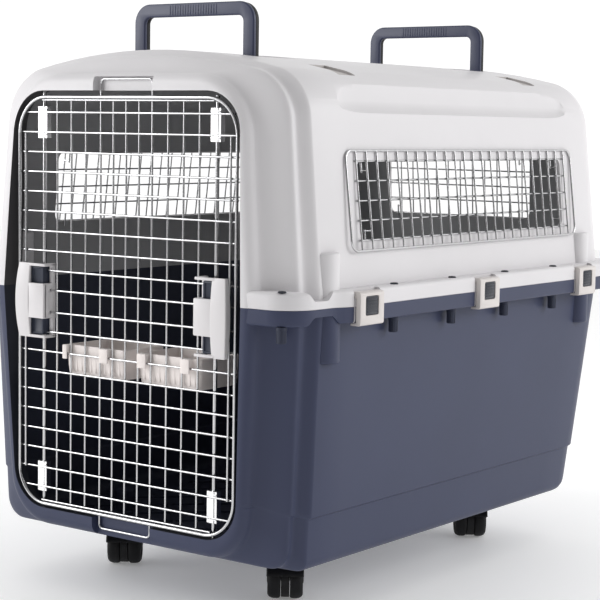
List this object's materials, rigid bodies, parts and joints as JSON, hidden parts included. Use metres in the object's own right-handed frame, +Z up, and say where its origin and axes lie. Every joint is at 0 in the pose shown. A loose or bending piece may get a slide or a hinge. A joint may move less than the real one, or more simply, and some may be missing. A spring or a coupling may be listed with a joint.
{
  "type": "pet transport carrier",
  "caption": "Wheeled hard-shell pet carrier with a wire door, squeeze latches, side clips, wire windows, folding top handles and hanging bowls.",
  "frame": {"origin": "on the floor under the middle of the overall box", "axes": "the door faces -Y, +X is the right side seen from the front, +Z is up, and Z = 0 is the floor under the castors"},
  "size_m": [0.576, 0.8, 0.7454],
  "materials": {
    "navy_shell": "fine moulded grain, slate navy",
    "grey_shell": "smooth moulded, warm light grey",
    "zinc_wire": "bright zinc plated wire",
    "sleeve_steel": "bright rolled sheet",
    "steel_pin": "plain bright steel",
    "dark_fastener": "dark moulded bolt and nut",
    "cream_plastic": "smooth cream moulding",
    "navy_button": "dark moulding",
    "black_plastic": "black moulding",
    "wheel_rubber": "black wheel"
  },
  "bodies": {
    "shells": {"lower_shell": "navy_shell", "upper_shell": "grey_shell", "window_grille_left": "zinc_wire", "window_grille_right": "zinc_wire", "window_grille_rear": "zinc_wire", "flange_bolts": "dark_fastener", "flange_nuts": "dark_fastener", "clip_pins": "steel_pin", "handle_pins": "steel_pin"},
    "door": {"door_frame": "zinc_wire", "door_wires_upright": "zinc_wire", "door_wires_level": "zinc_wire", "rod_guides": "sleeve_steel", "latch_base_left": "navy_shell", "latch_base_right": "navy_shell", "latch_spring_left": "steel_pin", "latch_spring_right": "steel_pin"},
    "latch_handle_left": {"latch_handle_left": "cream_plastic"},
    "latch_rod_top_left": {"latch_rod_top_left": "zinc_wire"},
    "latch_rod_bottom_left": {"latch_rod_bottom_left": "zinc_wire"},
    "latch_handle_right": {"latch_handle_right": "cream_plastic"},
    "latch_rod_top_right": {"latch_rod_top_right": "zinc_wire"},
    "latch_rod_bottom_right": {"latch_rod_bottom_right": "zinc_wire"},
    "bowl_left": {"bowl_left": "cream_plastic"},
    "bowl_right": {"bowl_right": "cream_plastic"},
    "clip_1": {"side_clip_1": "cream_plastic"},
    "button_1": {"clip_button_1": "navy_button"},
    "clip_2": {"side_clip_2": "cream_plastic"},
    "button_2": {"clip_button_2": "navy_button"},
    "clip_3": {"side_clip_3": "cream_plastic"},
    "button_3": {"clip_button_3": "navy_button"},
    "clip_4": {"side_clip_4": "cream_plastic"},
    "button_4": {"clip_button_4": "navy_button"},
    "clip_5": {"side_clip_5": "cream_plastic"},
    "button_5": {"clip_button_5": "navy_button"},
    "clip_6": {"side_clip_6": "cream_plastic"},
    "button_6": {"clip_button_6": "navy_button"},
    "handle_front": {"handle_grip_front": "navy_shell", "handle_back_front": "black_plastic"},
    "handle_rear": {"handle_grip_rear": "navy_shell", "handle_back_rear": "black_plastic"},
    "castor_1": {"castor_stem_1": "steel_pin", "castor_hood_1": "black_plastic"},
    "wheels_1": {"castor_wheels_1": "wheel_rubber", "castor_axle_1": "steel_pin"},
    "castor_2": {"castor_stem_2": "steel_pin", "castor_hood_2": "black_plastic"},
    "wheels_2": {"castor_wheels_2": "wheel_rubber", "castor_axle_2": "steel_pin"},
    "castor_3": {"castor_stem_3": "steel_pin", "castor_hood_3": "black_plastic"},
    "wheels_3": {"castor_wheels_3": "wheel_rubber", "castor_axle_3": "steel_pin"},
    "castor_4": {"castor_stem_4": "steel_pin", "castor_hood_4": "black_plastic"},
    "wheels_4": {"castor_wheels_4": "wheel_rubber", "castor_axle_4": "steel_pin"}
  },
  "joints": [
    {"name": "door_swing", "type": "hinge", "parent": "shells", "child": "door", "pos_m": [-0.141, -0.38, 0.368], "axis": [0, 0, -1], "range_deg": [0, 90]},
    {"name": "latch_left_squeeze", "type": "slide", "parent": "door", "child": "latch_handle_left", "axis": [1, 0, 0], "range_m": [0, 0.004], "stiffness_N_per_m": 600},
    {"name": "rod_top_left_slide", "type": "slide", "parent": "door", "child": "latch_rod_top_left", "axis": [0, 0, -1], "range_m": [0, 0.008]},
    {"name": "rod_bottom_left_slide", "type": "slide", "parent": "door", "child": "latch_rod_bottom_left", "axis": [0, 0, 1], "range_m": [0, 0.008]},
    {"name": "latch_right_release", "type": "slide", "parent": "door", "child": "latch_handle_right", "axis": [1, 0, 0], "range_m": [0, 0.004]},
    {"name": "rod_top_right_slide", "type": "slide", "parent": "door", "child": "latch_rod_top_right", "axis": [0, 0, 1], "range_m": [0, 0.008]},
    {"name": "rod_bottom_right_slide", "type": "slide", "parent": "door", "child": "latch_rod_bottom_right", "axis": [0, 0, -1], "range_m": [0, 0.008]},
    {"name": "bowl_left_lift", "type": "slide", "parent": "door", "child": "bowl_left", "axis": [0, 0, 1], "range_m": [0, 0.008]},
    {"name": "bowl_right_lift", "type": "slide", "parent": "door", "child": "bowl_right", "axis": [0, 0, 1], "range_m": [0, 0.008]},
    {"name": "clip_1_open", "type": "hinge", "parent": "shells", "child": "clip_1", "pos_m": [-0.2777, -0.271, 0.4], "axis": [0, 1, 0], "range_deg": [0, 95]},
    {"name": "button_1_press", "type": "slide", "parent": "clip_1", "child": "button_1", "axis": [1, 0, 0], "range_m": [0, 0.0022], "stiffness_N_per_m": 800},
    {"name": "clip_2_open", "type": "hinge", "parent": "shells", "child": "clip_2", "pos_m": [-0.2777, -0.004, 0.4], "axis": [0, 1, 0], "range_deg": [0, 95]},
    {"name": "button_2_press", "type": "slide", "parent": "clip_2", "child": "button_2", "axis": [1, 0, 0], "range_m": [0, 0.0022], "stiffness_N_per_m": 800},
    {"name": "clip_3_open", "type": "hinge", "parent": "shells", "child": "clip_3", "pos_m": [-0.2777, 0.263, 0.4], "axis": [0, 1, 0], "range_deg": [0, 95]},
    {"name": "button_3_press", "type": "slide", "parent": "clip_3", "child": "button_3", "axis": [1, 0, 0], "range_m": [0, 0.0022], "stiffness_N_per_m": 800},
    {"name": "clip_4_open", "type": "hinge", "parent": "shells", "child": "clip_4", "pos_m": [0.2777, -0.271, 0.4], "axis": [0, -1, 0], "range_deg": [0, 95]},
    {"name": "button_4_press", "type": "slide", "parent": "clip_4", "child": "button_4", "axis": [-1, 0, 0], "range_m": [0, 0.0022], "stiffness_N_per_m": 800},
    {"name": "clip_5_open", "type": "hinge", "parent": "shells", "child": "clip_5", "pos_m": [0.2777, -0.004, 0.4], "axis": [0, -1, 0], "range_deg": [0, 95]},
    {"name": "button_5_press", "type": "slide", "parent": "clip_5", "child": "button_5", "axis": [-1, 0, 0], "range_m": [0, 0.0022], "stiffness_N_per_m": 800},
    {"name": "clip_6_open", "type": "hinge", "parent": "shells", "child": "clip_6", "pos_m": [0.2777, 0.263, 0.4], "axis": [0, -1, 0], "range_deg": [0, 95]},
    {"name": "button_6_press", "type": "slide", "parent": "clip_6", "child": "button_6", "axis": [-1, 0, 0], "range_m": [0, 0.0022], "stiffness_N_per_m": 800},
    {"name": "handle_front_fold", "type": "hinge", "parent": "shells", "child": "handle_front", "pos_m": [0, -0.256, 0.6684], "axis": [-1, 0, 0], "range_deg": [0, 90]},
    {"name": "handle_rear_fold", "type": "hinge", "parent": "shells", "child": "handle_rear", "pos_m": [0, 0.275, 0.6684], "axis": [1, 0, 0], "range_deg": [0, 90]},
    {"name": "castor_1_swivel", "type": "hinge", "parent": "shells", "child": "castor_1", "pos_m": [-0.137, -0.233, 0.062], "axis": [0, 0, 1], "continuous": true},
    {"name": "wheels_1_spin", "type": "hinge", "parent": "castor_1", "child": "wheels_1", "pos_m": [-0.14302, -0.22501, 0.025], "axis": [0.7986, 0.6018, 0], "continuous": true},
    {"name": "castor_2_swivel", "type": "hinge", "parent": "shells", "child": "castor_2", "pos_m": [0.137, -0.233, 0.062], "axis": [0, 0, 1], "continuous": true},
    {"name": "wheels_2_spin", "type": "hinge", "parent": "castor_2", "child": "wheels_2", "pos_m": [0.13098, -0.22501, 0.025], "axis": [0.7986, 0.6018, 0], "continuous": true},
    {"name": "castor_3_swivel", "type": "hinge", "parent": "shells", "child": "castor_3", "pos_m": [-0.137, 0.211, 0.062], "axis": [0, 0, 1], "continuous": true},
    {"name": "wheels_3_spin", "type": "hinge", "parent": "castor_3", "child": "wheels_3", "pos_m": [-0.14302, 0.21899, 0.025], "axis": [0.7986, 0.6018, 0], "continuous": true},
    {"name": "castor_4_swivel", "type": "hinge", "parent": "shells", "child": "castor_4", "pos_m": [0.137, 0.211, 0.062], "axis": [0, 0, 1], "continuous": true},
    {"name": "wheels_4_spin", "type": "hinge", "parent": "castor_4", "child": "wheels_4", "pos_m": [0.13098, 0.21899, 0.025], "axis": [0.7986, 0.6018, 0], "continuous": true}
  ],
  "couplings": [
    {"joint": "rod_top_left_slide", "follows": "latch_left_squeeze", "ratio": 2},
    {"joint": "rod_bottom_left_slide", "follows": "latch_left_squeeze", "ratio": 2},
    {"joint": "rod_top_right_slide", "follows": "latch_right_release", "ratio": 2},
    {"joint": "rod_bottom_right_slide", "follows": "latch_right_release", "ratio": 2}
  ]
}
